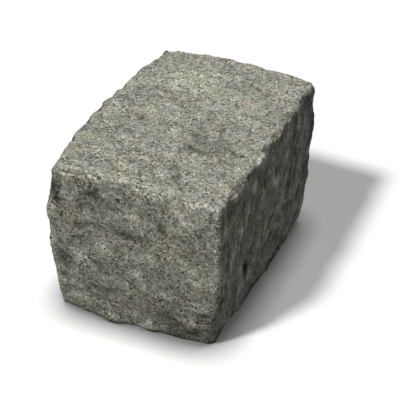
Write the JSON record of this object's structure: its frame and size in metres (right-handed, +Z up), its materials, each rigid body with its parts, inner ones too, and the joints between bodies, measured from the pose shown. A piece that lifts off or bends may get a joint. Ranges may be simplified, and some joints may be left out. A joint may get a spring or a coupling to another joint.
{
  "type": "granite sett",
  "caption": "Large granite paving sett with split sides, a crowned top with worn arrises and a flat bed, in speckled grey-green stone.",
  "frame": {"origin": "middle of the nominal block on its bed, the face it lies on", "axes": "+Z up to the walked face, +Y along the length, +X across the width"},
  "size_m": [0.1722, 0.2406, 0.1641],
  "materials": {
    "granite": "matte"
  },
  "bodies": {
    "root": {"granite_sett": "granite"}
  },
  "joints": []
}
